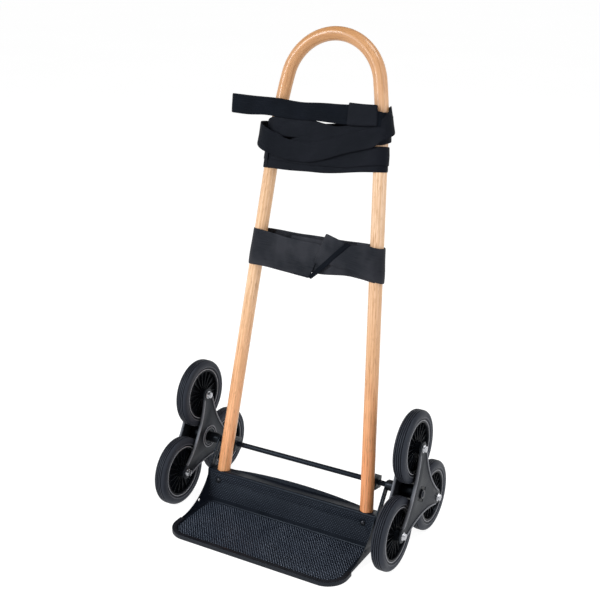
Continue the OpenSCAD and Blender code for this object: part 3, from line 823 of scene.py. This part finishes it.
# Turn 0 is the left end of the front run, 1 its right end, 2 and 3 the ends of the back run
def loopSpot(turn, s, lift):
    half = railX(s * mm) / mm
    around = turn % 4
    radius = strap["bare"] + lift
    if around < 1:
        return Vector((-half + 2 * half * around, -radius, s))
    if around < 2:
        angle = math.pi * (around - 1)
        return Vector((half + radius * math.sin(angle), -radius * math.cos(angle), s))
    if around < 3:
        return Vector((half - 2 * half * (around - 2), radius, s))
    angle = math.pi * (around - 3)
    return Vector((-half - radius * math.sin(angle), radius * math.cos(angle), s))


# Stations round the rails between stops of (turn, top, bottom, lift); a fifth number is the bottom's lift
def wound(*stops):
    stations = []
    for first, last in zip(stops, stops[1:]):
        count = max(int(abs(last[0] - first[0]) * 12), 2)
        first, last = ((*stop[:4], stop[-1]) for stop in (first, last))
        for i in range(count + (last[0] == stops[-1][0])):
            turn, top, bottom, lift, lowLift = (a + (b - a) * i / count for a, b in zip(first, last))
            stations.append((loopSpot(turn, top, lift), loopSpot(turn, bottom, lowLift)))
    return stations


# Stations in front of the rails, each (x, s) of the top, (x, s) of the bottom and the lift
def across(*spots):
    return [(Vector((xa, -strap["bare"] - lift, sa)), Vector((xb, -strap["bare"] - lift, sb)))
            for xa, sa, xb, sb, lift in spots]


def evenStations(stations):
    even = []
    for (topA, lowA), (topB, lowB) in zip(stations, stations[1:]):
        count = max(round(((topA + lowA) - (topB + lowB)).length / 2 / strap["step"]), 1)
        even += [(topA.lerp(topB, i / count), lowA.lerp(lowB, i / count)) for i in range(count)]
    even.append(stations[-1])
    eased = []
    for i, station in enumerate(even):
        reach = min(2, i, len(even) - 1 - i)
        near = even[i - reach:i + reach + 1]
        eased.append(tuple(sum((spot[k] for spot in near), Vector()) / len(near) for k in (0, 1)))
    return eased


def layStrap(name, stations, width, look, slot, ripple=0.8, seed=0, nodes=(), thick=strap["thick"]):
    even = evenStations(stations)
    rows = strap["rows"]
    points = []
    length = 0.0
    for i, (top, low) in enumerate(even):
        ahead = even[min(i + 1, len(even) - 1)]
        behind = even[max(i - 1, 0)]
        run = (ahead[0] + ahead[1] - behind[0] - behind[1]).normalized()
        out = run.cross(top - low).normalized()
        if i:
            length += ((top + low) - (even[i - 1][0] + even[i - 1][1])).length / 2
        for row in range(rows + 1):
            part = row / rows
            spot = low.lerp(top, part)
            slow = noise.noise((length * 0.017, part * 1.6, seed))
            quick = noise.noise((length * 0.06, part * 2.5, seed + 9))
            spot = spot + out * ripple * (slow + 0.4 * quick)
            spot.z += 0.6 * math.sin(length * 0.055 + seed) * abs(2 * part - 1)
            points.append((onHoop(*(spot * mm)), length * mm, (part - 0.5) * width * mm))
    return sheetMesh(name, points, rows, look, slot, nodes, thick)


def sheetMesh(name, points, rows, look, slot, nodes, thick):
    columns = len(points) // (rows + 1) - 1
    bpy.ops.mesh.primitive_grid_add(x_subdivisions=rows, y_subdivisions=columns, size=1)
    piece = bpy.context.object
    order = sorted(piece.data.vertices, key=lambda v: (round(v.co.y, 5), round(v.co.x, 5)))
    flat = {}
    for vertex, (place, along, side) in zip(order, points):
        vertex.co = place
        flat[vertex.index] = (along, side)
    layer = piece.data.uv_layers.active
    for loop in piece.data.loops:
        layer.data[loop.index].uv = flat[loop.vertex_index]
    addModifier(piece, "SOLIDIFY", thickness=thick, offset=0)
    addModifier(piece, "SUBSURF", levels=1, render_levels=1)
    tidyMesh(piece, 0.001 * mm)
    smooth(piece, 60)
    finishPiece(piece, name, "frame", finish[look], slot, *nodes)
    return piece


# The elastic band: its two ends cross in front, the right one folded back on itself
def buildBand():
    under = across((-56, 656, -62, 590, 1.0), (-13, 655, -20, 583, 1.4), (31, 655, 20, 580, 2.2),
                   (90, 655, 88, 586, 2.2), (128, 657, 128, 584, 1.4))
    under += wound((1.0, 656, 581, 0.8), (1.12, 656, 581, 0.8))
    layStrap("elasticUnder", under, 74, "elastic", "elastic", 0.6, 12)
    lap = across((92, 653, 44, 606, 7.6), (112, 655, 84, 600, 6.8), (130, 656, 122, 592, 5.4),
                 (143, 656, 144, 585, 4.0))
    turned = wound((1.0, 656, 583, 3.2), (1.25, 655, 581, 5.4), (1.5, 656, 580, 6.2, 5.0),
                   (1.75, 657, 581, 3.6), (2.0, 658, 581, 2.4), (2.5, 658, 581, 3.0),
                   (3.0, 660, 580, 2.4), (3.35, 660, 578, 3.0), (3.75, 660, 577, 3.4),
                   (4.0, 659, 577, 3.0))
    end = across((-118, 656, -118, 576, 3.4), (-57, 649, -57, 573, 4.2), (0, 646, -28, 569, 4.8),
                 (26, 644, 0, 567, 4.8))
    layStrap("elasticBand", lap + turned[1:] + end, 72, "elastic", "elastic", 1.3, 11, ["elastic_band"])
    flap = across((31, 671, 8, 604, 6.2), (45, 667, 18, 600, 6.8), (62, 662, 28, 596, 6.6),
                  (80, 656, 40, 606, 5.6))
    layStrap("elasticFlap", flap, 62, "elastic", "elastic", 0.8, 13)
    # A narrow strip of the darker loop cloth laid in the gap along the fold's crease: painted shadow of the
    # fold
    creaseShadow = across((-2, 571, 6, 567, 8.4), (12, 587, 21, 580, 8.6), (41, 617, 50, 610, 8.6),
                 (70, 646, 78, 639, 8.0), (84, 658, 93, 652, 6.6))
    layStrap("elasticCreaseShadow", creaseShadow, 11, "loop", "elastic", 0.5, 15)
    tuck = across((106, 662, 102, 640, 3.4), (121, 661, 118, 640, 3.2), (134, 659, 133, 640, 2.6))
    layStrap("elasticTuck", tuck, 21, "elastic", "elastic", 0.5, 14)


# The wound webbing: low turns, a rising turn on top, a slack fold at the left and a bulge at the right
def buildWebbing():
    low = wound((-0.25, 834, 794, 3.0), (0.0, 834, 794, 2.0), (0.5, 836, 796, 1.0),
                (1.0, 853, 812, 1.0), (1.5, 855, 814, 2.0), (2.0, 853, 813, 1.0),
                (3.0, 840, 800, 1.0), (4.0, 836, 796, 3.0))
    layStrap("webbingLow", low, 40, "webbing", "webbing", 0.9, 1, ["wound_webbing"])
    second = across((-124, 852, -124, 813, 3.4), (-34, 852, -34, 810, 3.6), (62, 854, 62, 814, 3.8),
                    (118, 862, 122, 824, 4.0))
    second += wound((1.0, 866, 827, 4.0), (1.5, 867, 828, 4.4), (2.0, 864, 825, 3.6),
                    (3.0, 856, 816, 3.6), (3.5, 854, 814, 4.6), (4.0, 852, 812, 5.0))
    layStrap("webbingSecond", second, 40, "webbing", "webbing", 1.0, 2)
    top = wound((-0.3, 900, 858, 6.0), (0.0, 909, 866, 6.6))
    top += across((-80, 909, -80, 866, 7.0), (-25, 907, -25, 864, 7.2), (6, 902, 6, 860, 7.2),
                  (30, 897, 30, 858, 7.2), (60, 902, 60, 860, 7.0), (108, 910, 108, 866, 6.0))
    top += wound((1.0, 914, 868, 5.6), (1.25, 914, 868, 7.0), (1.5, 920, 876, 7.0),
                 (2.0, 915, 873, 6.2), (2.5, 904, 862, 6.4), (3.0, 894, 852, 6.4))
    layStrap("webbingTop", top, 42, "webbing", "webbing", 1.4, 3)
    slack = wound((3.0, 896, 858, 9.0), (3.4, 897, 850, 18.0), (3.75, 893, 844, 24.0),
                  (3.9, 884, 832, 23.0), (4.0, 880, 830, 18.0))
    slack += across((-104, 868, -108, 822, 13.0), (-80, 861, -88, 817, 10.5), (-34, 858, -34, 814.5, 9.6),
                    (6, 868, 12, 827, 9.4), (59, 884, 59, 843, 9.4), (100, 898, 104, 857, 9.4),
                    (124, 906, 128, 864, 9.4))
    slack += wound((1.06, 914, 872, 9.6), (1.25, 931, 881, 8.0, 15.0), (1.5, 949, 892, 4.5, 17.5),
                   (1.75, 953, 902, 4.0, 13.0), (2.0, 944, 902, 8.0), (2.4, 926, 885, 9.2))
    layStrap("webbingFold", slack, 42, "webbing", "webbing", 1.5, 4)
    rise = across((-84, 860, -92, 820, 8.2), (6, 888.5, 16, 848, 8.0), (99, 906, 104, 865, 8.0),
                  (122, 911, 126, 870, 8.0))
    rise += wound((1.04, 914, 874, 7.6), (1.5, 930, 890, 9.4), (2.0, 930, 890, 7.4))
    layStrap("webbingRise", rise, 41, "webbing", "webbing", 0.8, 5)
    loose = wound((3.6, 872, 838, 9.0), (3.85, 876, 836, 13.0))
    loose += across((-120, 876, -122, 838, 15.0), (-106, 872, -108, 836, 12.5), (-94, 866, -97, 830, 10.0))
    layStrap("webbingTuck", loose, 38, "webbing", "webbing", 1.2, 6)


# The stiff fastening strap: its free end reaches out at the left, its root goes round the right rail
def buildFastening():
    tail = across((-234, 949, -232.5, 906.5, 11.0), (-200, 949, -196, 906, 11.0),
                  (-118.5, 946.5, -145, 907.5, 11.0), (-48, 942.5, -60, 905, 11.0),
                  (14, 944.5, 0, 904.5, 11.0), (57, 946, 56, 904, 11.0), (122, 947, 124, 907, 11.0))
    layStrap("fasteningStrap", tail, 41, "loop", "webbing", 0.7, 21, ["fastening_strap"], 2.4 * mm)
    sleeve = across((58, 950, 57, 902.5, 14.0), (92, 949.5, 92, 904, 14.4), (125, 949, 128.5, 905.5, 14.0))
    layStrap("fasteningSleeve", sleeve, 45, "webbing", "webbing", 0.6, 22, (), 3.0 * mm)
    back = across((122, 938, 128, 906, 12.4))
    back += wound((1.1, 936, 905, 10.0), (1.3, 936, 904, 4.0), (1.7, 938, 903, 4.0),
                  (2.0, 940, 903, 5.0), (2.14, 940, 903, 5.0))
    layStrap("fasteningReturn", back, 34, "loop", "webbing", 0.5, 23, (), 2.0 * mm)


buildBand()
buildWebbing()
buildFastening()
print("straps made")


def addFloor():
    bpy.ops.mesh.primitive_plane_add(size=80, location=(0, 20, 0))
    floor = bpy.context.object
    floor.name = "floor"
    look = Finish("paleFloor", (0.30, 0.30, 0.30), 0.95, Specular_IOR_Level=0.0, Emission_Strength=0.90)
    look.shader.inputs["Emission Color"].default_value = (1, 1, 1, 1)
    cloud = look.noise(look.place(), 0.6, 2)
    look.set("Base Color", look.ramp(cloud, [(0.3, (0.29, 0.29, 0.29)), (0.7, (0.31, 0.31, 0.31))]))
    floor.data.materials.append(look.material)


lights = {
    "keySoftbox": {"place": (-1.9, -2.4, 2.3), "aim": (0, 0, 0.5), "size": (0.7, 1.8), "watts": 100},
    "fillSoftbox": {"place": (5.0, -1.2, 3.0), "aim": (0, 0, 0.4), "size": (1.2, 3.4), "watts": 62},
    "topSoftbox": {"place": (1.1, 0.3, 3.0), "aim": (0, 0, 0.6), "size": (1.2, 1.2), "watts": 34},
}


def addLight(name, place, aim, size, watts):
    bpy.ops.object.light_add(type="AREA", location=place)
    lamp = bpy.context.object
    lamp.name = name
    lamp.data.shape = "RECTANGLE"
    lamp.data.size, lamp.data.size_y = size
    lamp.data.energy = watts
    towards = Vector(aim) - Vector(place)
    lamp.rotation_euler = towards.to_track_quat("-Z", "Y").to_euler()


addFloor()
for name, light in lights.items():
    addLight(name, **light)

# White near the horizon, dimmer overhead: each pair is the height of the direction and its strength
sky = {"glow": (0.26, 1.0), "zenith": (0.55, 0.16)}


def addSky():
    world = bpy.data.worlds.new("studio")
    world.use_nodes = True
    tree = world.node_tree
    where = tree.nodes.new("ShaderNodeTexCoord")
    split = tree.nodes.new("ShaderNodeSeparateXYZ")
    fade = tree.nodes.new("ShaderNodeMapRange")
    for socket, value in zip(("From Min", "To Min", "From Max", "To Max"), sky["glow"] + sky["zenith"]):
        fade.inputs[socket].default_value = value
    tree.links.new(where.outputs["Object"], split.inputs["Vector"])
    tree.links.new(split.outputs["Z"], fade.inputs["Value"])
    tree.links.new(fade.outputs["Result"], tree.nodes["Background"].inputs["Strength"])
    tree.nodes["Background"].inputs["Color"].default_value = (1, 1, 1, 1)
    bpy.context.scene.world = world


addSky()
bpy.context.scene.view_settings.view_transform = "Standard"
print("light set")
